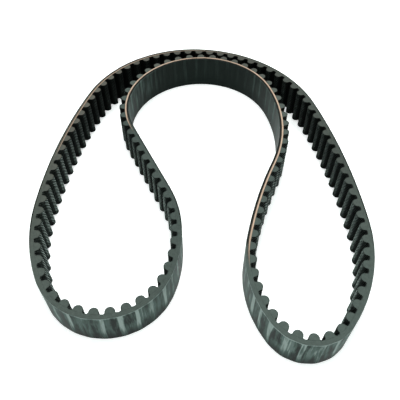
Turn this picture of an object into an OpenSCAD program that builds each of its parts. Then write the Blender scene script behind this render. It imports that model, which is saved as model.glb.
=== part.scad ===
// Endless round-tooth timing belt, free of its pulleys and standing on one cut edge.
// Seen from above the loop is a horseshoe: an outer arch, a bend at the foot of each
// leg, and an inner arch that bends the other way. The teeth are on the inside.
//
// The belt is a chain of runs. A run is one arc of whole teeth, and it is made of four
// layers: the rubber backing, the ply of tensile cords, the rubber teeth and the woven
// facing over them. Runs meet in the flat between two teeth, where the end of one is a
// round knuckle that turns in a socket in the next, so that the loop can flex.
//
// X is to the right, Y from the legs to the arch, and Z is across the belt's width.
// In a run's own frame X is along the belt and Y points to the tooth side.

/* [Belt] */
// Width of the belt across its teeth
belt_w = 22; // [15:1:30]
// Distance from one tooth to the next, along the cords
pitch = 8; // [8:0.5:10]

/* [Cross-section] */
// Thickness of the belt from its back to the tips of its teeth
belt_t = 6; // [5.6:0.1:6.6]
// Height of a tooth above the flat between two teeth
tooth_h = 3.38; // [3.2:0.02:3.5]
// Radius of a tooth's round tip
tip_r = 2.57; // [2.5:0.01:2.6]
// Width of a tooth where its flanks meet the flat
root_w = 5.5; // [5.4:0.02:5.6]
// Lean of a tooth's flanks from upright
flank_lean = 14; // [13:0.5:15]
// Radius of the fillet at the foot of a flank
root_fillet_r = 0.8; // [0.4:0.1:0.8]
// Thickness of the woven facing
facing_t = 0.35; // [0.3:0.05:0.4]
// Thickness of the ply of tensile cords
cord_ply_t = 1.1; // [0.9:0.1:1.2]

/* [Shape of the loop] */
// Heading of the belt where the left leg begins, turned from +X
start_heading = -109; // [-180:1:180]
// Teeth in the left leg's four runs, from its flank round the bend and back up
left_leg_teeth = [12, 6, 10, 7]; // [5:1:12]
// Turn of each of the left leg's runs
left_leg_turns = [17, 27, 133, 46]; // [5:1:140]
// Teeth in the four runs of the inner arch, from left to right
inner_arch_teeth = [7, 9, 11, 9]; // [5:1:12]
// Turn of each run of the inner arch, which bends away from its teeth; 0 is straight
inner_arch_turns = [0, -83, -104, -43]; // [-110:1:0]
// Teeth in the right leg's four runs, from its inner side round the bend
right_leg_teeth = [7, 6, 5, 8]; // [5:1:12]
// Turn of each of the right leg's runs
right_leg_turns = [12, 46, 108, 41]; // [5:1:140]
// Teeth in the three runs of the outer arch, from the right leg to the left
outer_arch_teeth = [12, 12, 12]; // [5:1:12]
// Turn of each run of the outer arch
outer_arch_turns = [15, 68, 77]; // [5:1:90]

/* [Joints between runs] */
// Radius of the knuckle on the end of a run
knuckle_r = 1.5; // [1.4:0.05:1.6]
// Clearance between a knuckle and its socket
knuckle_gap = 0.1; // [0.08:0.01:0.2]
// The same clearance at the one joint where the chain of runs is left open
open_gap = 0.2; // [0.1:0.05:0.3]

/* [Hidden] */
$fn = 96;

run_teeth = concat(left_leg_teeth, inner_arch_teeth, right_leg_teeth, outer_arch_teeth);
run_turns = concat(left_leg_turns, inner_arch_turns, right_leg_turns, outer_arch_turns);
runs = len(run_teeth);
// The run whose socket is the open joint: the third of the inner arch ends there
open_run = len(left_leg_teeth) + 3;

// Heights in a run's frame, measured from the middle of the cords towards the teeth
ply_top = cord_ply_t / 2;
ply_bottom = -cord_ply_t / 2;
land_y = ply_top + facing_t;
tip_y = land_y + tooth_h;
back_y = tip_y - belt_t;
hinge_y = (land_y + back_y) / 2;

over = 1;             // how far a cutting shape runs past what it cuts
film = 0.01;          // clearance under the teeth and facing, for the cords' curve between facets
bow = 0.002;          // how far a facet of a run may lie inside its true arc
past_end_l = knuckle_r + over;
closing_steps = 6;    // rounds of easing that bring the loop's two ends together
tip_facets = 14;      // facets round a tooth's tip

function sum(v, i = 0) = i < len(v) ? v[i] + sum(v, i + 1) : 0;
function radians(a) = a * PI / 180;
function two_digits(i) = str(i < 9 ? "0" : "", i + 1);
function node_name(layer, i) = str(layer, "_", two_digits(i));

LAYERS = ["backing", "cords", "teeth", "facing"];

// ---- The line of the cords ----

function run_length(i) = run_teeth[i] * pitch;

// A pose is [x, y, heading]. This is the pose after an arc of the given length and turn.
function arc_end(p, length, turn) =
    turn == 0 ? p + length * [cos(p.z), sin(p.z), 0] :
    let (r = length / radians(turn))
    [p.x + r * (sin(p.z + turn) - sin(p.z)), p.y - r * (cos(p.z + turn) - cos(p.z)), p.z + turn];

// The pose at the start of every run, and at the end of the last one
function run_poses(turns) = [
    for (
        i = 0, p = [0, 0, start_heading];
        i <= runs;
        p = i < runs ? arc_end(p, run_length(i), turns[i]) : p, i = i + 1
    ) p
];

function determinant(a, b, c) = a * cross(b, c);
function solve3(m, v) = [
    determinant(v, m[1], m[2]),
    determinant(m[0], v, m[2]),
    determinant(m[0], m[1], v)
] / determinant(m[0], m[1], m[2]);

// The given turns nearly close the loop. Each step adds the smallest set of turns that
// takes up what is left between its two ends. A straight run stays straight.
function closed_turns(turns, steps = closing_steps) =
    steps == 0 ? turns :
    let (
        p = run_poses(turns),
        end = p[runs],
        miss = [end.x - p[0].x, end.y - p[0].y, radians(end.z - p[0].z - 360)],
        // How far one radian more at the middle of each run would move the end
        lever = [for (i = [0 : runs - 1]) let (mid = (p[i] + p[i + 1]) / 2)
            turns[i] == 0 ? [0, 0, 0] : [mid.y - end.y, end.x - mid.x, 1]],
        m = [for (a = [0 : 2]) [for (b = [0 : 2]) sum([for (l = lever) l[a] * l[b]])]],
        share = solve3(m, -miss)
    )
    closed_turns([for (i = [0 : runs - 1]) turns[i] + lever[i] * share * 180 / PI], steps - 1);

turns = closed_turns(run_turns);
poses = run_poses(turns);

function straight(i) = turns[i] == 0;
function radius(i) = run_length(i) / radians(turns[i]);
function pose_along(i, length) = arc_end(poses[i], length, turns[i] * length / run_length(i));

// ---- The middle of the loop's outline, which is put on the Z axis ----

function back_point(p) = [p.x - back_y * sin(p.z), p.y + back_y * cos(p.z)];
function turns_through(i, a) =
    let (past = (a + 90 - poses[i].z) % 360, ahead = past < 0 ? past + 360 : past)
    turns[i] > 0 && ahead <= turns[i];
// How far the run's back reaches in the direction of angle a
function run_reach(i, a) =
    let (u = [cos(a), sin(a)], p = poses[i])
    turns_through(i, a)
        ? [p.x - radius(i) * sin(p.z), p.y + radius(i) * cos(p.z)] * u + radius(i) - back_y
        : max(back_point(p) * u, back_point(poses[i + 1]) * u);
function reach(a) = max([for (i = [0 : runs - 1]) run_reach(i, a)]);

middle = [reach(0) - reach(180), reach(90) - reach(270)] / 2;

module at_pose(p) {
    translate([p.x - middle.x, p.y - middle.y, 0]) rotate(p.z) children();
}

// ---- Shapes that the layers share ----

// The strip of a run between two heights, run on past its end by a knuckle's length
module band(i, low, high) {
    at_pose(poses[i])
        if (straight(i)) translate([0, low, 0]) cube([run_length(i) + past_end_l, high - low, belt_w]);
        else arc_band(radius(i), turns[i] + past_end_l / radius(i) * 180 / PI, low, high);
}

module arc_band(r, turn, low, high) {
    translate([0, r, 0])
        rotate(r > 0 ? -90 : 90 + turn)
            rotate_extrude(angle = abs(turn), $fn = ceil(180 / acos(1 - bow / abs(r))))
                translate([r > 0 ? r - high : low - r, 0])
                    square([high - low, belt_w]);
}

module knuckle(r) {
    translate([0, hinge_y, -over]) cylinder(r = r, h = belt_w + 2 * over);
}

// All that lies past a run's end, but for its knuckle
module past_end(i) {
    side = 4 * knuckle_r + 2 * over;
    at_pose(poses[i + 1])
        difference() {
            translate([0, hinge_y - side / 2, -over / 2]) cube([side, side, belt_w + over]);
            knuckle(knuckle_r);
        }
}

// The socket at a run's start, for the knuckle of the run before
module socket(i) {
    at_pose(poses[i]) knuckle(knuckle_r + (i == open_run ? open_gap : knuckle_gap));
}

module between_joints(i) {
    difference() {
        children();
        past_end(i);
        socket(i);
    }
}

// ---- A tooth's outline, from its middle line to the right, Y from the flat ----

tip_centre = tooth_h - tip_r;
fillet_x = root_w / 2 + root_fillet_r * tan(45 - flank_lean / 2);

// The height where a flank, moved in by inset, meets the round of the tip
function shoulder_y(inset) =
    let (
        r = tip_r - inset,
        h = root_w / 2 - inset / cos(flank_lean),
        t = tan(flank_lean),
        a = 1 + t * t,
        b = tip_centre + h * t,
        c = tip_centre * tip_centre + h * h - r * r
    )
    (b - sqrt(max(b * b - a * c, 0))) / a;

// The round of the tip, from the right shoulder over the top to the left one
function tip_points(inset) =
    let (r = tip_r - inset, from = asin((shoulder_y(inset) - tip_centre) / r))
    [for (k = [0 : tip_facets]) let (a = from + k * (180 - 2 * from) / tip_facets)
        [r * cos(a), tip_centre + r * sin(a)]];

// The fillet at the foot of the right flank, from the flat up
fillet_points = [for (a = [270, 250, 225, 180 + flank_lean])
    [fillet_x, root_fillet_r] + root_fillet_r * [cos(a), sin(a)]];

function mirrored(v) = [for (k = [len(v) - 1 : -1 : 0]) [-v[k].x, v[k].y]];

// The foot of the rubber tooth, where its right flank meets the cords
core_foot = [root_w / 2 - facing_t / cos(flank_lean) + facing_t * tan(flank_lean), film - facing_t];

skin_line = concat(fillet_points, tip_points(0), mirrored(fillet_points));
core_line = concat([core_foot], tip_points(facing_t), mirrored([core_foot]));

// A point of the k-th tooth's outline in the loop. The tooth keeps its shape, and its foot
// follows the run's bend.
function along(i, length, y) =
    let (p = pose_along(i, length)) [p.x - y * sin(p.z), p.y + y * cos(p.z)];
function placed(i, k, point) =
    let (
        mid = (k + 0.5) * pitch,
        p = pose_along(i, mid),
        y = land_y + point.y,
        stiff = [p.x + point.x * cos(p.z) - y * sin(p.z), p.y + point.x * sin(p.z) + y * cos(p.z)],
        bend = min(max(1 - point.y / root_fillet_r, 0), 1)
    )
    stiff + bend * (along(i, mid + point.x, y) - stiff);

// A line of the facing from the run's end back to its start, at height y in the flats
function facing_line(i, line, y) = concat(
    [for (s = [past_end_l, past_end_l / 2, 0]) along(i, run_length(i) + s, y)],
    [for (k = [run_teeth[i] - 1 : -1 : 0]) each concat(
        [for (q = line) placed(i, k, q)],
        [along(i, k * pitch, y)]
    )]
);

module outline(points) {
    translate([-middle.x, -middle.y, 0])
        linear_extrude(height = belt_w) polygon(points);
}

// ---- The four layers ----

module backing(i) {
    color("#56615c") between_joints(i) band(i, back_y, ply_bottom);
}

module cords(i) {
    color("#cda98c") between_joints(i) band(i, ply_bottom, ply_top);
}

module teeth(i) {
    foot = [for (f = [-0.6, 0, 0.6]) [f * core_foot.x, core_foot.y]];
    color("#66706b")
        for (k = [0 : run_teeth[i] - 1])
            outline([for (q = concat(core_line, foot)) placed(i, k, q)]);
}

module facing(i) {
    inner = facing_line(i, core_line, ply_top + film);
    color("#20282a")
        between_joints(i)
            outline(concat(
                facing_line(i, skin_line, land_y),
                [for (k = [len(inner) - 1 : -1 : 0]) inner[k]]
            ));
}

for (i = [0 : runs - 1]) {
    backing(i);
    cords(i);
    teeth(i);
    facing(i);
}
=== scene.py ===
"""Looks for the round-tooth timing belt: a moulded rubber belt standing on one cut edge.

Every layer of the belt is rebuilt as a smooth skin around the fixed CAD frame. A piece spans
the joint between two runs, from the middle of one to the middle of the next.
Lengths are in millimetres until a mesh is made. The floor and the lamps are in metres.
"""

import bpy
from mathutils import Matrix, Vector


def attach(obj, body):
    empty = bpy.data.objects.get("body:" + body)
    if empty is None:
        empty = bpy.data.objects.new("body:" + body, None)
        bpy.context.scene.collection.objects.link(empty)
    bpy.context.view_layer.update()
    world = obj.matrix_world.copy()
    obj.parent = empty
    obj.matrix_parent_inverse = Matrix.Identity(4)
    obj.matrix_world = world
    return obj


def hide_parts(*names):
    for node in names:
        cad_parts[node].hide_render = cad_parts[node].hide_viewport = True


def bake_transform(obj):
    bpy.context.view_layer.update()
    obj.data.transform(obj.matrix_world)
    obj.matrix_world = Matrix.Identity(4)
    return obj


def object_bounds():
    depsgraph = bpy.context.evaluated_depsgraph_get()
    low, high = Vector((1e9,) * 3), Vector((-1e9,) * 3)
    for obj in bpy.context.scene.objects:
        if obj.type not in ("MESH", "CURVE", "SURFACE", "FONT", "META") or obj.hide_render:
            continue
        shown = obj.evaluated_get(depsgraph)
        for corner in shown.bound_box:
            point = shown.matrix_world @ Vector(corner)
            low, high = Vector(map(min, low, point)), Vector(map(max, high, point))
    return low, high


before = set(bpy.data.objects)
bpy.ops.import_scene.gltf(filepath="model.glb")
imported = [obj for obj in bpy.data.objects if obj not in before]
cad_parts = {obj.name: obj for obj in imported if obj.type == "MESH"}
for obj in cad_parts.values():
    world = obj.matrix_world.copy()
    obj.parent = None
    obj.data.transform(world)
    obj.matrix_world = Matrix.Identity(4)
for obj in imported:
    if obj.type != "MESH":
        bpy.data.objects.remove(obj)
CAD_BOX = [list(v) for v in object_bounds()]

import math

import bpy
import numpy as np
from mathutils import Matrix, Vector

MM = 0.001

# ---- The belt, as the CAD model has it ----

PITCH = 8.0
WIDTH = 22.0
BELT_T = 6.0
TOOTH_H = 3.38
TIP_R = 2.57
ROOT_W = 5.5
FLANK_LEAN = math.radians(14)
FILLET_R = 0.8
FACING_T = 0.35
PLY_T = 1.1
START_HEADING = math.radians(-109)
RUN_TEETH = [12, 6, 10, 7, 7, 9, 11, 9, 7, 6, 5, 8, 12, 12, 12]
# Turn of each run in degrees, before the loop's two ends are brought together
RUN_TURNS = [17, 27, 133, 46, 0, -83, -104, -43, 12, 46, 108, 41, 15, 68, 77]
OPEN_RUN = 7                  # the run whose start is the open pivot, counted from 0
OPEN_ROOM = 0.015             # how far the pieces on each side of it stop short

PLY_TOP = PLY_T / 2
PLY_BOTTOM = -PLY_T / 2
LAND = PLY_TOP + FACING_T
BACK = LAND + TOOTH_H - BELT_T
TIP_CENTRE = TOOTH_H - TIP_R
FILLET_X = ROOT_W / 2 + FILLET_R * math.tan(math.pi / 4 - FLANK_LEAN / 2)
RUNS = len(RUN_TEETH)
TEETH = sum(RUN_TEETH)

# ---- How finely the skins are made ----

STEP_LOOP = 0.02              # along the loop, to find its middle
STEP_ALONG = 0.4              # along the backing
STEP_CORDS = 0.32             # along the cords
STEP_ACROSS = 0.5             # across the back
STEP_CUT = 0.16               # across the backing's slit edge
STEP_SKETCH = 0.05            # along a tooth's outline before it is softened
STEP_FACING = 0.26            # along the facing's own surface
STEP_RIB = 0.28               # across the facing
EDGE_POINTS = 5               # round each edge of the back
FILLET_POINTS = 20            # round a tooth's fillet
TIP_POINTS = 60               # round half a tooth's tip
CORD_POINTS = 12              # across the cords' slit edge
TOOTH_POINTS = 9              # from a tooth's facing down to the cords

# ---- Small shapes that the CAD model leaves out ----

EDGE_R = 0.22                 # radius of the back's two edges
CUT_ROUND = 0.08              # how much of that round looks slit, and not like the back
SOFTENING = 0.13              # how far the corners of a tooth's outline are softened
SOFTENING_REACH = 9           # sketch steps that the softening looks over on each side
CUT_DEPTH = 0.018             # how far the slit edges lie inside the belt's width
CUT_ROUGH = 0.012             # how high their fine marks are
CUT_WAVE = 0.006              # how high their slow waves are
CORD_DEPTH = 0.03             # how far the cords' edge lies inside, where no fibre shows
CORD_CROWN = 0.022            # how far a bold cord bulges out from there
CORD_FIBRE = 0.02             # how deep the grooves between its fibres are
CORD_WAVE = 0.01              # how high the slow waves of the cords' edge are
CORD_LIMITS = 0.001, 0.2      # the least and the most that the cords' edge lies inside
TOOTH_ROOM = 0.1              # how far a tooth's rubber stops short of its fillets' ends
FACING_ROOM = 0.004           # how far the facing's edges lie inside the belt's width
FACING_TURN = 0.25            # the facing's outer surface turns down this near its edges,
FACING_DROP = 0.12            # by this share of its thickness
RIB_ROOM = 0.1                # how near the facing's edges its ribs start
FACING_LEVELS = np.array([0.0, 0.3, 0.65, 1.0])     # of the points through its thickness
FACETING = 0.85               # how much of a bend sits in the thin flats between teeth

# ---- The woven facing ----

RIB_PERIOD = 1.4              # from one twill rib to the next, across the belt
RIB_SLOPE = 1.1               # how far a rib climbs across the belt for each length along it
RIB_DEPTH = 0.24              # how deep the furrows between ribs are
RIB_SHARPNESS = 1.6           # how narrow a rib's crest is
RIB_DRIFT = 0.16              # how far ribs wander slowly, in rib periods
RIB_JITTER = 0.06             # how far they wander quickly
FLOAT_PERIOD = 1.0            # from one float to the next, along the belt
FLOAT_DEPTH = 0.03            # how deep the dips between floats are
FLOAT_JITTER = 0.1            # how far floats are out of step, in float periods


def smooth(t):
    """A share from 0 to 1, eased at both ends."""
    t = np.clip(t, 0, 1)
    return t * t * (3 - 2 * t)


def noise(x, y, seed):
    """Smooth value noise from -1 to 1 on a unit lattice."""
    xi, yi = np.floor(x), np.floor(y)
    fx, fy = smooth(x - xi), smooth(y - yi)

    def corner(a, b):
        """A level from 0 to 1 for one point of the lattice, as good as random."""
        v = np.sin(a * 127.1 + b * 311.7 + seed * 74.7) * 43758.5453
        return v - np.floor(v)

    low = corner(xi, yi) * (1 - fx) + corner(xi + 1, yi) * fx
    high = corner(xi, yi + 1) * (1 - fx) + corner(xi + 1, yi + 1) * fx
    return 2 * (low * (1 - fy) + high * fy) - 1


# ---- The line of the cords ----

def arc_step(pose, length, turn):
    """The pose, as x, y and heading, after an arc of the given length and turn."""
    x, y, a = pose
    if turn == 0:
        return x + length * math.cos(a), y + length * math.sin(a), a
    r = length / turn
    return (x + r * (math.sin(a + turn) - math.sin(a)),
            y - r * (math.cos(a + turn) - math.cos(a)), a + turn)


def chain(turns):
    """The pose at the start of every run, and at the end of the last one."""
    poses = [(0.0, 0.0, START_HEADING)]
    for teeth, turn in zip(RUN_TEETH, turns):
        poses.append(arc_step(poses[-1], teeth * PITCH, turn))
    return np.array(poses)


def closed_turns(steps=6):
    """The given turns, eased so that the loop's two ends meet. A straight run stays straight."""
    turns = np.radians(RUN_TURNS)
    for _ in range(steps):
        p = chain(turns)
        miss = p[-1] - p[0] - np.array([0, 0, 2 * math.pi])
        mid = (p[:-1] + p[1:]) / 2
        lever = np.stack([mid[:, 1] - p[-1, 1], p[-1, 0] - mid[:, 0], np.ones(RUNS)])
        lever[:, turns == 0] = 0
        turns = turns + lever.T @ np.linalg.solve(lever @ lever.T, -miss)
    return turns


TURNS = closed_turns()
STARTS = chain(TURNS)
RUN_S = np.concatenate([[0], np.cumsum(RUN_TEETH)]) * PITCH
LOOP = RUN_S[-1]
CURVATURE = TURNS / np.diff(RUN_S)


def run_of(s):
    """The run that each length s is in, once or more round the loop."""
    return np.clip(np.searchsorted(RUN_S, np.mod(s, LOOP), side="right") - 1, 0, RUNS - 1)


def pose_at(s):
    """Position and heading of the cords' middle at each length s. Most of the bend is in the
    thin flats between teeth, so the belt's back is slightly faceted."""
    s = np.asarray(s, float)
    m = np.mod(s, LOOP)
    i = run_of(s)
    ds, k = m - RUN_S[i], CURVATURE[i]
    x0, y0, a0 = STARTS[i].T
    a = a0 + k * ds
    safe = np.where(k == 0, 1, k)
    x = x0 + np.where(k == 0, ds * np.cos(a0), (np.sin(a) - np.sin(a0)) / safe)
    y = y0 + np.where(k == 0, ds * np.sin(a0), -(np.cos(a) - np.cos(a0)) / safe)
    w = 2 * math.pi / PITCH
    shift = FACETING * k / w ** 2 * (1 - np.cos(w * m))
    tilt = FACETING * k / w * np.sin(w * m)
    return x - shift * np.sin(a), y + shift * np.cos(a), a + tilt


def at_height(s, h):
    """Points in the loop at lengths s and at heights h above the cords' middle."""
    x, y, a = pose_at(s)
    return np.stack([x - h * np.sin(a), y + h * np.cos(a)], -1)


def grid_at_height(s, h):
    """The same for lengths and heights that are both grids."""
    return at_height(s.ravel(), h.ravel()).reshape(s.shape + (2,))


def middle_of_loop():
    """The middle of the box round the loop's back."""
    out = at_height(np.arange(0, LOOP, STEP_LOOP), BACK)
    return (out.min(0) + out.max(0)) / 2


MIDDLE = middle_of_loop()
CAD_MIDDLE = np.array([(CAD_BOX[0][k] + CAD_BOX[1][k]) / 2 / MM for k in (0, 1)])


# ---- A tooth's outline ----

def tooth_line():
    """The facing's outer surface over one pitch, from flat to flat, with even spacing."""
    a = np.linspace(-math.pi / 2, -math.pi + FLANK_LEAN, FILLET_POINTS)
    fillet = np.stack([FILLET_X + FILLET_R * np.cos(a), FILLET_R + FILLET_R * np.sin(a)], -1)
    t, h = math.tan(FLANK_LEAN), ROOT_W / 2
    b = TIP_CENTRE + h * t
    c = TIP_CENTRE ** 2 + h ** 2 - TIP_R ** 2
    shoulder = (b - math.sqrt(b * b - (1 + t * t) * c)) / (1 + t * t)
    first = math.asin((shoulder - TIP_CENTRE) / TIP_R)
    a = np.linspace(first, math.pi / 2, TIP_POINTS)
    tip = np.stack([TIP_R * np.cos(a), TIP_CENTRE + TIP_R * np.sin(a)], -1)
    half = np.concatenate([[[PITCH / 2, 0]], fillet, tip])
    line = np.concatenate([half * [-1, 1], half[-2::-1]])
    line = softened(resample(line, STEP_SKETCH))
    line[:, 1] += TOOTH_H - line[:, 1].max()
    line[0], line[-1] = (-PITCH / 2, line[0, 1]), (PITCH / 2, line[0, 1])
    return resample(line, STEP_FACING)


def softened(line):
    """A tooth's outline, blurred as if the row of teeth went on at both ends."""
    reach = SOFTENING_REACH
    kernel = np.exp(-0.5 * (np.arange(-reach, reach + 1) * STEP_SKETCH / SOFTENING) ** 2)
    kernel /= kernel.sum()
    before = line[-reach - 1:-1] - [PITCH, 0]
    after = line[1:reach + 1] + [PITCH, 0]
    wide = np.concatenate([before, line, after])
    return np.stack([np.convolve(wide[:, k], kernel, "valid") for k in (0, 1)], -1)


def lengths(line):
    """The distance along a line to each of its points."""
    return np.concatenate([[0], np.cumsum(np.hypot(*np.diff(line, axis=0).T))])


def resample(line, step):
    """The same line with even spacing, as near the step as its length allows."""
    d = lengths(line)
    n = max(2, int(round(d[-1] / step)))
    t = np.linspace(0, d[-1], n + 1)
    return np.stack([np.interp(t, d, line[:, k]) for k in (0, 1)], -1)


def inset(line, by):
    """A tooth's outline, moved in by the same distance all along."""
    g = np.gradient(line, axis=0)
    g[0] = g[-1] = (1, 0)
    g /= np.hypot(*g.T)[:, None]
    out = line + by * np.stack([g[:, 1], -g[:, 0]], -1)
    out[:, 1] = np.maximum(out[:, 1], -by)
    return out


SKIN = tooth_line()
SKIN_L = lengths(SKIN)
LINING = inset(SKIN, FACING_T)


def placed(tooth, points):
    """Points of a tooth's outline, put in the loop. The tooth keeps its shape, and its foot
    follows the belt's bend."""
    mid = (tooth + 0.5) * PITCH
    x, y, a = pose_at(mid)
    h = LAND + points[:, 1]
    stiff = np.stack([x + points[:, 0] * math.cos(a) - h * math.sin(a),
                      y + points[:, 0] * math.sin(a) + h * math.cos(a)], -1)
    bent = at_height(mid + points[:, 0], h)
    w = np.clip(1 - points[:, 1] / FILLET_R, 0, 1)[:, None]
    return stiff + smooth(w) * (bent - stiff)


# ---- Where along the belt things show, in teeth from the start of the left flank ----
#
# Each table was set by looking at the photograph: a tooth, and a level there from 0
# to about 1.

# How clearly the slit edge shows the fibre of a cut cord, from none to a bold stripe
CORD_SHOWS = [
    (0, 0.60), (4, 0.55), (6.5, 0.42), (8, 0.0), (41, 0.0), (42.5, 0.55), (44, 0.85),
    (50, 0.84), (55, 0.70), (60, 0.84), (66, 0.95), (72, 1.0), (77, 0.92), (79, 0.55),
    (80.5, 0.0), (115, 0.0), (119, 0.28), (123, 0.38), (127, 0.52), (133, 0.60),
]
# How grey the slit rubber is
CUT_TONE = [
    (0, 0.66), (6, 0.62), (12, 0.54), (16, 0.62), (22, 0.60), (28, 0.52), (33, 0.46),
    (38, 0.50), (42, 0.36), (46, 0.50), (50, 0.62), (57, 0.42), (63, 0.60), (72, 0.50),
    (81, 0.66), (87, 0.68), (93, 0.62), (99, 0.58), (102, 0.42), (110, 0.44), (117, 0.38),
    (125, 0.44), (133, 0.66),
]
# How dusty and scuffed the back is; the same level scales the back's painted reflection bands and
# edge highlight
BACK_DUST = [
    (0, 0.22), (10, 0.3), (15, 0.6), (18, 0.80), (24, 0.85), (29, 0.80), (34, 0.45),
    (41, 0.25), (44, 0.5), (47, 0.5), (51, 0.10), (59, 0.08), (62, 0.32), (66, 0.42),
    (72, 0.35), (78, 0.75), (82, 1.0), (88, 1.0), (93, 0.75), (100, 0.4), (112, 0.25),
    (133, 0.22),
]
# How strongly the crests of the facing's weave are painted pale as highlight
WEAVE_HIGHLIGHT = [
    (0, 0.07), (4, 0.28), (8, 0.62), (12, 1.15), (22, 1.15), (32, 0.7), (40, 0.45), (44, 0.2),
    (50, 0.04), (60, 0.05), (63, 0.3), (67, 0.8), (71, 1.1), (80, 1.0), (84, 1.0), (91, 0.85),
    (97, 0.5), (104, 0.27), (110, 0.14), (115, 0.08), (120, 0.03), (133, 0.07),
]
# How brown the slit rubber is, rather than green
CUT_WARMTH = [
    (0, 1.0), (5, 0.9), (10, 0.55), (16, 0.25), (20, 0.1), (30, 0.0), (47, 0.0), (51, 0.8),
    (58, 0.8), (62, 0.35), (70, 0.0), (93, 0.0), (103, 0.35), (110, 0.4), (117, 0.8), (124, 1.0),
    (133, 1.0),
]


def along_belt(table, s):
    """A table's level at each length s."""
    teeth, value = np.array(table).T
    return np.interp(np.mod(s, LOOP) / PITCH, teeth, value)


# ---- Meshes ----

class Skin:
    """Grids of points that become one mesh. Each point has its place in the belt, and its tone,
    as the materials need them."""

    def __init__(self):
        self.co, self.belt, self.tone, self.faces, self.slots = [], [], [], [], []
        self.count = 0

    def grid(self, co, belt, tone, slots):
        """co: rows x columns x 3. A row is a ring, and its last point is joined to its first.
        slots: the material of each strip between two columns."""
        n, m = co.shape[:2]
        index = self.count + np.arange(n * m).reshape(n, m)
        index = np.concatenate([index, index[:, :1]], 1)
        a, b, c, d = index[:-1, :-1], index[:-1, 1:], index[1:, 1:], index[1:, :-1]
        self.faces.append(np.stack([a, b, c, d], -1).reshape(-1, 4))
        self.slots.append(np.broadcast_to(np.asarray(slots), a.shape).ravel())
        for store, values in ((self.co, co), (self.belt, belt), (self.tone, tone)):
            store.append(np.reshape(values, (-1, np.shape(values)[-1])))
        self.count += n * m

    def cap(self, co, belt, tone):
        """Closes a ring of points with a fan of triangles about its middle. A triangle is
        stored with its last corner twice."""
        n = len(co)
        ring = self.count + np.arange(n)
        mid = np.full(n, self.count + n)
        self.faces.append(np.stack([ring, np.roll(ring, -1), mid, mid], -1))
        self.slots.append(np.zeros(n, int))
        for store, values in ((self.co, co), (self.belt, belt), (self.tone, tone)):
            store.append(np.concatenate([values, values.mean(0, keepdims=True)]))
        self.count += n + 1

    def tube(self, xy, belt, tone, slots=0):
        """A ring of points for each length along the belt, capped at both ends."""
        co = np.concatenate([xy, belt[..., 2:]], -1)
        self.grid(co, belt, tone, slots)
        for end in (0, -1):
            self.cap(co[end], belt[end], tone[end])

    def build(self, name, materials):
        """The object. Its middle is put where the CAD frame has it."""
        co = np.concatenate(self.co)
        co[:, :2] += CAD_MIDDLE - MIDDLE
        faces = np.concatenate(self.faces)
        slots = np.concatenate(self.slots)
        fan = faces[:, 2] == faces[:, 3]
        corners = np.ones(faces.shape, bool)
        corners[:, 3] = ~fan
        loops = faces[corners]
        me = bpy.data.meshes.new(name)
        me.vertices.add(len(co))
        me.vertices.foreach_set("co", (co * MM).astype(np.float32).ravel())
        me.loops.add(len(loops))
        me.loops.foreach_set("vertex_index", loops.astype(np.int32))
        me.polygons.add(len(faces))
        first = np.concatenate([[0], np.cumsum(corners.sum(1))[:-1]])
        me.polygons.foreach_set("loop_start", first.astype(np.int32))
        me.polygons.foreach_set("material_index", slots.astype(np.int32))
        me.update(calc_edges=True)
        me.validate()
        tone = np.concatenate(self.tone).astype(np.float32)
        for attribute, values in (("belt", np.concatenate(self.belt)), ("tone", tone[:, :3])):
            layer = me.attributes.new(attribute, "FLOAT_VECTOR", "POINT")
            layer.data.foreach_set("vector", values.astype(np.float32).ravel())
        me.attributes.new("warmth", "FLOAT", "POINT").data.foreach_set("value", tone[:, 3].copy())
        for m in materials:
            me.materials.append(m)
        me.polygons.foreach_set("use_smooth", np.ones(len(faces), bool))
        obj = bpy.data.objects.new(name, me)
        bpy.context.scene.collection.objects.link(obj)
        return obj


def tones(s, shape):
    """How the belt looks at each point: how its cord shows, and its grey, dust and warmth. On
    the facing's outer surface the first is the weave's depth, and on all of the facing the
    third is how strongly its crests are painted pale as highlight."""
    tables = (CORD_SHOWS, CUT_TONE, BACK_DUST, CUT_WARMTH)
    t = np.stack([along_belt(table, s) for table in tables], -1)
    return np.broadcast_to(t[:, None, :], shape + (4,))


def cut_relief(s, h, seed):
    """How far the slit edge lies below the belt's full width: a fine, uneven sawn surface."""
    fine = noise(s / 0.9, h / 0.35, seed)
    slow = noise(s / 3.1, h / 1.1, seed + 5)
    return CUT_DEPTH + CUT_ROUGH * fine + CUT_WAVE * slow


def sunk(z, relief):
    """Both slit edges, moved in from the belt's full width."""
    return np.where(z > WIDTH / 2, z - relief, z + relief)


def over_and_under(values):
    """A ring that runs over the upper slit edge and back under the lower one, as values and
    places across the belt."""
    return np.concatenate([values, values[::-1]]), np.repeat([WIDTH, 0.0], len(values))


def spaced(a, b, step):
    """Even places from a to b, both included."""
    n = max(1, int(round(abs(b - a) / step)))
    return np.linspace(a, b, n + 1)


def backing_ring():
    """The backing's section, from the cords over the upper edge, down the back and round, and
    the material of each strip."""
    turn = np.linspace(0, math.pi / 2, EDGE_POINTS)
    top = spaced(PLY_BOTTOM, BACK + EDGE_R, STEP_CUT)
    upper = [(BACK + EDGE_R - EDGE_R * math.sin(a), WIDTH - EDGE_R + EDGE_R * math.cos(a))
             for a in turn[1:]]
    back = [(BACK, z) for z in spaced(WIDTH - EDGE_R, EDGE_R, STEP_ACROSS)[1:-1]]
    lower = [(h, WIDTH - z) for h, z in upper[::-1]]
    ring = [(h, WIDTH) for h in top] + upper + back + lower + [(h, 0.0) for h in top[::-1]]
    h, z = np.array(ring).T
    on_cut = (z > WIDTH - CUT_ROUND) | (z < CUT_ROUND)
    slots = (on_cut & np.roll(on_cut, -1)).astype(int)
    slots[-1] = 1
    return h, z, slots


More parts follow.
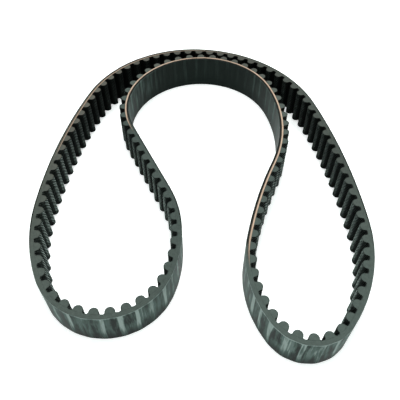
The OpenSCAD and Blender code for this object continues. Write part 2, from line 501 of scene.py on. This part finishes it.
def make_backing(name, s0, s1):
    """The rubber behind the cords, from length s0 to s1."""
    skin = Skin()
    s = spaced(s0, s1, STEP_ALONG)
    ring_h, ring_z, slots = backing_ring()
    ss, h = np.meshgrid(s, ring_h, indexing="ij")
    on_edge = (ring_z == 0) | (ring_z == WIDTH)
    z = sunk(ring_z, cut_relief(ss, h, seed=1) * on_edge)
    skin.tube(grid_at_height(ss, h), np.stack([ss, h, z], -1), tones(s, ss.shape), slots)
    return skin.build(name, [MATERIALS["back"], MATERIALS["cut"]])


def make_cords(name, s0, s1):
    """The cord ply. Its slit edge is a strip of parallel fibres, slightly proud where a cord
    was cut and level with the rubber elsewhere."""
    skin = Skin()
    s = spaced(s0, s1, STEP_CORDS)
    ring_h, ring_z = over_and_under(np.linspace(PLY_BOTTOM, PLY_TOP, CORD_POINTS))
    ss, h = np.meshgrid(s, ring_h, indexing="ij")
    shows = along_belt(CORD_SHOWS, s)[:, None]
    fibre = 0.5 + 0.5 * noise(ss / 5.0, h / 0.16, 11) + 0.3 * noise(ss / 1.2, h / 0.1, 12)
    crown = 1 - (2 * (h - PLY_BOTTOM) / PLY_T - 1) ** 2
    wave = noise(ss / 1.5, h / 0.5, 13)
    relief = CORD_DEPTH + shows * (CORD_FIBRE * fibre - CORD_CROWN * crown) + CORD_WAVE * wave
    z = sunk(ring_z, np.clip(relief, *CORD_LIMITS))
    skin.tube(grid_at_height(ss, h), np.stack([ss, h, z], -1), tones(s, ss.shape))
    return skin.build(name, [MATERIALS["cord"]])


def make_teeth(name, first, last):
    """The rubber inside each tooth, from the cords up to the facing."""
    skin = Skin()
    keep = np.abs(SKIN[:, 0]) < FILLET_X - TOOTH_ROOM
    top = LINING[keep]
    base = np.stack([np.linspace(top[0, 0], top[-1, 0], len(top)),
                     np.full(len(top), -FACING_T)], -1)
    t, ring_z = over_and_under(np.linspace(0, 1, TOOTH_POINTS))
    h = LAND + top[:, 1:] + t * (base - top)[:, 1:]
    for tooth in range(first, last):
        a, b = placed(tooth, top), placed(tooth, base)
        xy = a[:, None] + t[None, :, None] * (b - a)[:, None]
        s = (tooth + 0.5) * PITCH + top[:, 0]
        ss = np.broadcast_to(s[:, None], h.shape)
        z = sunk(ring_z, cut_relief(ss, h, seed=3))
        co = np.concatenate([xy, z[..., None]], -1)
        skin.grid(co, np.stack([ss, h, z], -1), tones(s, h.shape), 0)
    return skin.build(name, [MATERIALS["tooth"]])


def weave(p, z):
    """Depth of the twill below its crests, as a share of the facing's thickness, at distance p
    along the cloth. Ribs climb across the belt, and each is a rope of short floats."""
    drift = RIB_DRIFT * noise(p / 7.0, z / 5.0, 21) + RIB_JITTER * noise(p / 1.6, z / 1.3, 22)
    across = (z - RIB_SLOPE * p) / RIB_PERIOD + drift
    rib = np.sin(math.pi * (across - np.floor(across))) ** RIB_SHARPNESS
    jitter = FLOAT_JITTER * noise(p / 0.9, z / 0.9, 23)
    along = p / FLOAT_PERIOD + 0.5 * np.floor(across) + jitter
    knot = 0.5 + 0.5 * np.cos(2 * math.pi * along)
    depth = (1 - rib) * RIB_DEPTH + knot * rib * FLOAT_DEPTH
    return depth / FACING_T


def held(line, low, high):
    """A line with its ends held between two distances along the belt."""
    return np.stack([np.clip(line[:, 0], low, high), line[:, 1]], -1)


def facing_rows(first, last, s0, s1):
    """The facing's two surfaces over a row of teeth: points of the outer and of the inner one,
    with the distance along the cloth, the height and the length along the belt at each."""
    rows = []
    for tooth in range(first, last):
        mid = (tooth + 0.5) * PITCH
        low, high = s0 - mid, s1 - mid
        outer = placed(tooth, held(SKIN, low, high))
        inner = placed(tooth, held(LINING, low, high))
        cloth = tooth * SKIN_L[-1] + SKIN_L
        row = np.column_stack([outer, inner, cloth, LAND + SKIN[:, 1], mid + SKIN[:, 0]])
        rows.append(row if tooth == last - 1 else row[:-1])
    rows = np.concatenate(rows)
    return rows[:, 0:2], rows[:, 2:4], *rows[:, 4:].T


def make_facing(name, first, last, s0, s1):
    """The woven facing over a row of teeth, cut flush at both of the belt's edges. The ring
    runs through its thickness at both edges, and then across its outer surface."""
    skin = Skin()
    outer, inner, p, h, s = facing_rows(first, last, s0, s1)
    across = spaced(RIB_ROOM, WIDTH - RIB_ROOM, STEP_RIB)
    thick, edge_z = over_and_under(FACING_LEVELS)
    t = np.concatenate([thick, np.zeros(len(across))])
    z = np.concatenate([np.clip(edge_z, FACING_ROOM, WIDTH - FACING_ROOM), across])
    on_skin = np.arange(len(t)) >= len(thick)
    pp, zz = np.meshgrid(p, z, indexing="ij")
    depth = weave(pp, zz)
    edge = np.clip(1 - np.minimum(z, WIDTH - z) / FACING_TURN, 0, 1)
    t = np.where(on_skin, depth + edge * FACING_DROP, t + (t == 0) * depth)
    xy = outer[:, None] + t[..., None] * (inner - outer)[:, None]
    tone = tones(s, pp.shape).copy()
    tone[..., 0] = np.where(on_skin, t * FACING_T / RIB_DEPTH, tone[..., 0])
    # On the facing the third tone is how strongly its crests are painted pale as highlight
    tone[..., 2] = along_belt(WEAVE_HIGHLIGHT, s)[:, None]
    belt = np.stack([pp, np.broadcast_to(h[:, None], pp.shape), zz], -1)
    slots = (~(on_skin | np.roll(on_skin, -1))).astype(int)
    skin.tube(xy, belt, tone, slots)
    return skin.build(name, [MATERIALS["facing"], MATERIALS["facing_cut"]])


# ---- Materials ----

# Slit rubber, from its darkest to its lightest
GREEN_RUBBER = (0.018, 0.025, 0.022), (0.098, 0.122, 0.111)
BROWN_RUBBER = (0.024, 0.023, 0.019), (0.118, 0.113, 0.096)
SPECK = (0.150, 0.165, 0.150)
SLIT_SHADE = (0.0090, 0.0086, 0.0070)         # painted shadow of a bold cord, on the slit rubber beside it
SLIT_SKIN = (0.0045, 0.0050, 0.0045)          # the back's own skin, seen at the slit
CORD_FIBRES = (0.230, 0.130, 0.085), (0.590, 0.420, 0.320)
CORD_TWIST = (0.400, 0.345, 0.285)
CORD_BED = (0.045, 0.026, 0.018)
BACK_BLACK = (0.0034, 0.0080, 0.0064)
# The pale colours of the back's dust, also used for its painted reflection bands and edge
# highlight
BACK_BLOOM = (0.070, 0.104, 0.093)
BACK_SCUFF_AND_SHEEN = (0.235, 0.290, 0.272)
# The facing's black cloth, and the pale painted highlight on its crests
CLOTH_AND_HIGHLIGHT = (0.0004, 0.0010, 0.0008), (0.560, 0.700, 0.645)
YARN_ENDS = (0.0016, 0.0020, 0.0019), (0.010, 0.011, 0.010)

SLIT_GRAIN = 0.00006          # heights of the bumps, in metres
YARN_GRAIN = 0.00008
BACK_GRAIN = 0.0001
SLIT_SHEEN = 0.1              # how strongly a surface mirrors the light
SKIN_SHEEN = 0.06


class Nodes:
    """A small helper that wires up a material's nodes."""

    def __init__(self, name):
        self.material = bpy.data.materials.new(name)
        self.material.use_nodes = True
        self.tree = self.material.node_tree
        self.tree.nodes.clear()
        self.out = self.tree.nodes.new("ShaderNodeOutputMaterial")
        self.shader = self.tree.nodes.new("ShaderNodeBsdfPrincipled")
        self.tree.links.new(self.shader.outputs[0], self.out.inputs["Surface"])

    def link(self, value, socket):
        """Joins another node's output to a socket, or sets the socket to a constant."""
        if isinstance(value, (int, float)):
            socket.default_value = value
        elif isinstance(value, tuple):
            short = len(value) < len(socket.default_value)
            socket.default_value = value + (1,) if short else value
        else:
            self.tree.links.new(value, socket)

    def node(self, kind, inputs=(), **settings):
        n = self.tree.nodes.new("ShaderNode" + kind)
        for k, v in settings.items():
            setattr(n, k, v)
        for k, v in dict(inputs).items():
            self.link(v, n.inputs[k])
        return n

    def attribute(self, name, output="Vector"):
        return self.node("Attribute", attribute_name=name).outputs[output]

    def parts(self, vector):
        n = self.node("SeparateXYZ", {0: vector})
        return n.outputs[0], n.outputs[1], n.outputs[2]

    def math(self, operation, a, b=0.0, clamp=False):
        return self.node("Math", {0: a, 1: b}, operation=operation, use_clamp=clamp).outputs[0]

    def plus(self, a, b):
        return self.math("ADD", a, b)

    def minus(self, a, b):
        return self.math("SUBTRACT", a, b)

    def times(self, a, b, clamp=False):
        return self.math("MULTIPLY", a, b, clamp)

    def vector(self, x, y, z):
        return self.node("CombineXYZ", {0: x, 1: y, 2: z}).outputs[0]

    def noise(self, vector, scale, detail=3.0, rough=0.55):
        n = self.node("TexNoise", {"Vector": vector, "Scale": scale, "Detail": detail,
                                   "Roughness": rough})
        return n.outputs[0]

    def streaks(self, x, per_x, y, per_y, z, detail=3.0, rough=0.55):
        """Noise with its own number of cells for each millimetre of x and of y."""
        return self.noise(self.vector(self.times(x, per_x), self.times(y, per_y), z),
                          1.0, detail, rough)

    def ramp(self, value, low, high, to_low=0.0, to_high=1.0):
        n = self.node("MapRange", {"Value": value, "From Min": low, "From Max": high,
                                   "To Min": to_low, "To Max": to_high},
                      interpolation_type="SMOOTHSTEP")
        return n.outputs[0]

    def mix(self, factor, a, b):
        n = self.node("Mix", data_type="RGBA")
        self.link(factor, n.inputs[0])
        self.link(a, n.inputs[6])
        self.link(b, n.inputs[7])
        return n.outputs[2]

    def bump(self, height, strength, distance):
        return self.node("Bump", {"Height": height, "Strength": strength,
                                  "Distance": distance}).outputs[0]

    def finish(self, color, roughness, normal=None, specular=0.5):
        self.link(color, self.shader.inputs["Base Color"])
        self.link(roughness, self.shader.inputs["Roughness"])
        self.shader.inputs["Specular IOR Level"].default_value = specular
        if normal is not None:
            self.tree.links.new(normal, self.shader.inputs["Normal"])
        return self.material


def slit_rubber(n, s, h, z, tone):
    """Colour of slit rubber: green-grey or brown-grey, mottled, with fine marks along the slit
    and a few pale specks. Also how light the marks make it."""
    at = n.vector(s, h, z)
    marks = n.streaks(s, 0.35, h, 5.0, z, 4.0)
    mottle = n.noise(at, 0.55, 5.0, 0.65)
    grain = n.noise(at, 4.5, 2.0)
    light = n.plus(n.times(marks, 0.35), n.times(mottle, 0.45))
    light = n.plus(light, n.times(grain, 0.2))
    light = n.minus(n.times(light, 1.8), 0.4)
    level = n.ramp(n.plus(n.times(tone, 0.75), n.times(light, 0.5)), 0.2, 1.2)
    color = n.mix(n.attribute("warmth", "Fac"), n.mix(level, *GREEN_RUBBER),
                  n.mix(level, *BROWN_RUBBER))
    specks = n.noise(at, 2.3, 1.0)
    return n.mix(n.ramp(specks, 0.70, 0.80, 0.0, 0.5), color, SPECK), light


def slit_finish(n, color, light):
    """Matt rubber, roughest where its marks are lightest."""
    rough = n.ramp(light, 0.2, 0.8, 0.62, 0.85)
    return n.finish(color, rough, n.bump(light, 0.35, SLIT_GRAIN), specular=SLIT_SHEEN)


def cut_material():
    """The backing's slit edge. It is darkened with painted shadow beside a bold cord, and is dark
    at the back's own skin.
    """
    n = Nodes("cut_backing")
    s, h, z = n.parts(n.attribute("belt"))
    shows, tone, dust = n.parts(n.attribute("tone"))
    color, light = slit_rubber(n, s, h, z, tone)
    # Painted shadow: the slit rubber goes nearly black where a cord shows boldly beside it
    color = n.mix(n.ramp(shows, 0.60, 0.70, 0.0, 0.92), color, SLIT_SHADE)
    skin = n.ramp(h, BACK + 0.45, BACK + 1.05, 1.0, 0.0)
    skin = n.times(skin, n.ramp(dust, 0.50, 0.72, 0.92, 0.0))
    return slit_finish(n, n.mix(skin, color, SLIT_SKIN), light)


def tooth_material():
    n = Nodes("cut_tooth")
    s, h, z = n.parts(n.attribute("belt"))
    _, tone, _ = n.parts(n.attribute("tone"))
    return slit_finish(n, *slit_rubber(n, s, h, z, tone))


def cord_material():
    """The ply's slit edge: a tan stripe of fibres in a brown bed, or rubber where none shows."""
    n = Nodes("cut_cord")
    s, h, z = n.parts(n.attribute("belt"))
    shows, tone, _ = n.parts(n.attribute("tone"))
    rubber, light = slit_rubber(n, s, h, z, tone)
    fibre = n.streaks(s, 0.12, h, 6.0, 0.0, 5.0, 0.7)
    twist = n.streaks(s, 0.55, h, 2.2, 3.0, 2.0)
    tan = n.mix(n.ramp(fibre, 0.28, 0.68), *CORD_FIBRES)
    tan = n.mix(n.ramp(twist, 0.35, 0.75, 0.0, 0.5), tan, CORD_TWIST)
    middle = n.ramp(shows, 0.5, 0.8, 0.24, 0.08)
    half_width = n.ramp(shows, 0.5, 0.8, 0.30, 0.50)
    off = n.math("DIVIDE", n.math("ABSOLUTE", n.minus(h, middle)), half_width)
    stripe = n.ramp(off, 0.60, 1.0, 1.0, 0.0)
    patch = n.noise(n.vector(n.times(s, 0.07), 0.0, 7.0), 1.0, 2.0)
    seen = n.ramp(n.plus(shows, n.times(patch, 0.25)), 0.15, 1.05)
    brown = n.mix(n.ramp(shows, 0.0, 0.8), rubber, CORD_BED)
    bed = n.mix(n.times(n.ramp(shows, 0.05, 0.5), 0.85), rubber, brown)
    color = n.mix(n.times(seen, stripe), bed, tan)
    bump = n.bump(n.plus(fibre, light), 0.4, SLIT_GRAIN)
    return n.finish(color, 0.72, bump, specular=SLIT_SHEEN)


def back_material():
    """Near-black rubber with a green cast. A pale bloom lies on it in clouds. Straight bands
    across the belt, one over each flat between teeth where the back bends, are painted
    reflection, and a pale strip along its upper edge is painted highlight."""
    n = Nodes("back_skin")
    s, _, z = n.parts(n.attribute("belt"))
    _, _, dust = n.parts(n.attribute("tone"))
    wander = n.streaks(s, 0.09, z, 0.02, 1.0, 2.0)
    streak = n.streaks(s, 1.1, z, 0.045, 4.0, 3.0, 0.6)
    strong = n.streaks(s, 0.13, z, 0.02, 6.0, 2.0)
    cloud = n.streaks(s, 0.32, z, 0.05, 9.0, 4.0)
    fine = n.streaks(s, 2.6, z, 0.5, 2.0, 3.0)
    # Painted reflection: pale straight bands across the belt, one over each flat between teeth
    place = n.plus(s, n.times(n.minus(wander, 0.5), 5.0))
    flat = n.math("ABSOLUTE", n.math("COSINE", n.times(place, math.pi / PITCH)))
    reflection_band = n.times(n.ramp(flat, 0.88, 0.95), n.ramp(strong, 0.30, 0.60, 0.25, 1.0))
    reflection_band = n.times(reflection_band, n.ramp(streak, 0.30, 0.55, 0.45, 1.0))
    thin = n.times(n.ramp(streak, 0.58, 0.66), 0.30)
    bloom = n.ramp(cloud, 0.34, 0.62, 0.04, 0.56)
    # The dust's clouds and thin streaks, with the painted reflection bands laid on them
    dust_and_sheen = n.plus(n.plus(bloom, n.times(reflection_band, 0.80)), thin)
    dust_and_sheen = n.plus(dust_and_sheen, n.times(n.minus(fine, 0.5), 0.25))
    # Darker towards the bottom edge: the pale marks fade to 0.28 of their strength at the floor
    foot = n.ramp(z, 0.0, 11.0, 0.28, 1.0)
    # Painted highlight: a pale strip along the back's upper edge
    corner = n.times(n.ramp(z, WIDTH - 0.9, WIDTH - 0.3), 0.55)
    amount = n.times(n.plus(n.times(dust_and_sheen, foot), corner), dust, clamp=True)
    color = n.mix(n.ramp(amount, 0.0, 0.55), BACK_BLACK, BACK_BLOOM)
    color = n.mix(n.ramp(amount, 0.40, 1.0), color, BACK_SCUFF_AND_SHEEN)
    rough = n.ramp(n.plus(amount, n.times(fine, 0.2)), 0.0, 0.8, 0.42, 0.74)
    bump = n.bump(n.plus(n.times(fine, 0.5), cloud), 0.25, BACK_GRAIN)
    return n.finish(color, rough, bump, specular=SKIN_SHEEN)


def facing_material():
    """Black twill. Its crests carry a pale painted highlight, mostly on the teeth's tips, which
    is dimmed near the floor by painted shade.
    """
    n = Nodes("woven_facing")
    p, h, z = n.parts(n.attribute("belt"))
    depth, _, crest_highlight = n.parts(n.attribute("tone"))
    yarn = n.streaks(n.minus(p, z), 7.0, n.plus(p, z), 1.2, 0.0)
    # Patches in which the crests' painted highlight is weaker
    highlight_patches = n.noise(n.vector(p, h, z), 0.35, 4.0)
    crest = n.ramp(depth, 0.0, 0.40, 1.0, 0.0)
    # Painted highlight: the crests grow pale towards a tooth's tip, by the level along the belt
    tip = n.ramp(h, LAND + TOOTH_H - 1.0, LAND + TOOTH_H - 0.1, 0.20, 1.6)
    tip = n.times(tip, crest_highlight, clamp=True)
    # Painted shade: the crest highlight is dimmed to a quarter near the floor
    tip = n.times(tip, n.ramp(z, 0.5, 5.0, 0.25, 1.0))
    amount = n.times(n.times(crest, tip), n.ramp(highlight_patches, 0.3, 0.7, 0.5, 1.0))
    amount = n.times(amount, n.ramp(yarn, 0.25, 0.75, 0.75, 1.0))
    rough = n.ramp(amount, 0.0, 0.9, 0.85, 0.35)
    bump = n.bump(yarn, 0.35, YARN_GRAIN)
    return n.finish(n.mix(amount, *CLOTH_AND_HIGHLIGHT), rough, bump, specular=SKIN_SHEEN)


def facing_cut_material():
    """The facing's slit edge: dark yarn, smeared with rubber where no cord shows beside it."""
    n = Nodes("cut_facing")
    p, h, z = n.parts(n.attribute("belt"))
    shows, tone, _ = n.parts(n.attribute("tone"))
    smear, _ = slit_rubber(n, p, h, z, n.times(tone, 0.92))
    ends = n.streaks(p, 2.4, h, 1.0, z)
    yarn = n.mix(n.ramp(ends, 0.35, 0.7), *YARN_ENDS)
    bare_spots = n.ramp(ends, 0.50, 0.68, 0.04, 0.55)
    bare = n.math("MAXIMUM", bare_spots, n.ramp(shows, 0.0, 0.4, 0.0, 0.92))
    bump = n.bump(ends, 0.5, YARN_GRAIN)
    return n.finish(n.mix(bare, smear, yarn), 0.8, bump, specular=SKIN_SHEEN)


MATERIALS = {
    "back": back_material(),
    "cut": cut_material(),
    "cord": cord_material(),
    "tooth": tooth_material(),
    "facing": facing_material(),
    "facing_cut": facing_cut_material(),
}


# ---- The belt, piece by piece ----

def run_name(i):
    return "run_%02d" % (i % RUNS + 1)


def seam(i):
    """The flat nearest the middle of a run, where one piece ends and the next begins."""
    i = i % RUNS
    return sum(RUN_TEETH[:i]) + RUN_TEETH[i] // 2


def layers(tag, first, last):
    """The four layers of one piece of belt, in whole teeth. Beside the open joint they stop a
    hair short, because its two ends move by a few hundredths of a millimetre as the belt
    flexes."""
    s0 = first * PITCH + (OPEN_ROOM if tag.endswith("b") else 0)
    s1 = last * PITCH - (OPEN_ROOM if tag.endswith("a") else 0)
    return {
        "backing": make_backing("backing_skin_" + tag, s0, s1),
        "cords": make_cords("cord_ply_" + tag, s0, s1),
        "teeth": make_teeth("tooth_rubber_" + tag, first, last),
        "facing": make_facing("woven_facing_" + tag, first, last, s0, s1),
    }


def make_piece(tag, first, last, i, rider=None):
    """One piece of belt. It spans the joint at the start of run i and is left where it is made,
    or rides one run.
    """
    for layer, piece in layers(tag, first, last).items():
        if rider is None:
            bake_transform(piece)
        else:
            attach(piece, run_name(rider))
        if not tag.endswith("b"):
            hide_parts("%s_%02d" % (layer, i + 1))


def make_belt():
    """A piece for each joint. At the open joint it is two pieces, and the first of them
    replaces the CAD nodes of that number."""
    for i in range(RUNS):
        tag = "%02d" % (i + 1)
        first = seam(i - 1) - (TEETH if i == 0 else 0)
        last = seam(i)
        if i == OPEN_RUN:
            joint = sum(RUN_TEETH[:i])
            make_piece(tag + "_a", first, joint, i, rider=i - 1)
            make_piece(tag + "_b", joint, last, i, rider=i)
        else:
            make_piece(tag, first, last, i)


make_belt()


# ---- Stage ----

FLOOR_SIZE = 16.0             # metres
FLOOR_GLOW = 0.5              # a lit product table
PAPER = (0.90, 0.91, 0.91), (0.93, 0.94, 0.94)     # the floor's two whites, mixed by a noise
SKY_TOP = 0.85                # light from straight above, and from the horizon
SKY_RIM = 0.12
SKY_FROM = 0.15               # the heights between which it changes, as sines of the angle
SKY_TO = 0.85
DAYLIGHT = (0.94, 1.0, 0.975)
# Each lamp's name, its place and size in metres, and its power in watts
LAMPS = [
    ("overhead", (0.0, 0.10, 1.2), 0.9, 6.0),
    ("behind", (0.05, 0.62, 0.60), 0.35, 6.0),
    ("front", (-0.5, -0.9, 0.8), 0.6, 1.6),
]


def make_floor():
    me = bpy.data.meshes.new("floor")
    r = FLOOR_SIZE / 2
    me.from_pydata([(-r, -r, 0), (r, -r, 0), (r, r, 0), (-r, r, 0)], [], [(0, 1, 2, 3)])
    floor = bpy.data.objects.new("floor", me)
    bpy.context.scene.collection.objects.link(floor)
    n = Nodes("floor")
    paper = n.noise(n.node("TexCoord").outputs["Object"], 9.0, 3.0)
    color = n.mix(paper, *PAPER)
    n.link(color, n.shader.inputs["Emission Color"])
    n.shader.inputs["Emission Strength"].default_value = FLOOR_GLOW
    floor.data.materials.append(n.finish(color, 0.9, specular=0.05))


def make_sky():
    """A studio that is bright above and dark at the sides."""
    world = bpy.data.worlds.new("studio")
    bpy.context.scene.world = world
    world.use_nodes = True
    tree = world.node_tree
    way = tree.nodes.new("ShaderNodeTexCoord").outputs["Generated"]
    split = tree.nodes.new("ShaderNodeSeparateXYZ")
    tree.links.new(way, split.inputs[0])
    fade = tree.nodes.new("ShaderNodeMapRange")
    fade.interpolation_type = "SMOOTHSTEP"
    tree.links.new(split.outputs[2], fade.inputs["Value"])
    fade.inputs["From Min"].default_value = SKY_FROM
    fade.inputs["From Max"].default_value = SKY_TO
    fade.inputs["To Min"].default_value = SKY_RIM
    fade.inputs["To Max"].default_value = SKY_TOP
    sky = tree.nodes["Background"]
    sky.inputs[0].default_value = (*DAYLIGHT, 1)
    tree.links.new(fade.outputs[0], sky.inputs[1])


def make_lamp(name, place, size, power):
    """A round soft lamp that faces the belt."""
    light = bpy.data.lights.new(name, "AREA")
    light.shape = "DISK"
    light.size = size
    light.energy = power
    light.color = DAYLIGHT
    lamp = bpy.data.objects.new(name, light)
    lamp.location = place
    lamp.rotation_mode = "QUATERNION"
    lamp.rotation_quaternion = (-Vector(place)).to_track_quat("-Z", "Y")
    bpy.context.scene.collection.objects.link(lamp)


# The camera looks down at the belt from the front. TARGET is where its axis meets the plane of
# the belt's upper edge, and DISTANCE is from there, both in millimetres.
TARGET = (0.14, -29.06, WIDTH)
DISTANCE = 268.34
ELEVATION = math.radians(51.32)
AZIMUTH = math.radians(-0.24)
ROLL = math.radians(-0.175)
SENSOR = 36                   # the film's width, and the lens's focal length
LENS = 44.0478


def camera():
    data = bpy.data.cameras.new("camera")
    data.sensor_width = SENSOR
    data.lens = LENS
    data.clip_start, data.clip_end = 0.01, 20
    cam = bpy.data.objects.new("camera", data)
    level = math.cos(ELEVATION)
    ahead = Vector((-math.sin(AZIMUTH) * level, math.cos(AZIMUTH) * level, -math.sin(ELEVATION)))
    cam.location = (Vector(TARGET) - ahead * DISTANCE) * MM
    cam.rotation_mode = "QUATERNION"
    turn = ahead.to_track_quat("-Z", "Y").to_matrix() @ Matrix.Rotation(-ROLL, 3, "Z")
    cam.rotation_quaternion = turn.to_quaternion()
    bpy.context.scene.collection.objects.link(cam)
    bpy.context.scene.camera = cam


camera()
make_floor()
make_sky()
for lamp in LAMPS:
    make_lamp(*lamp)
bpy.context.scene.view_settings.view_transform = "Standard"
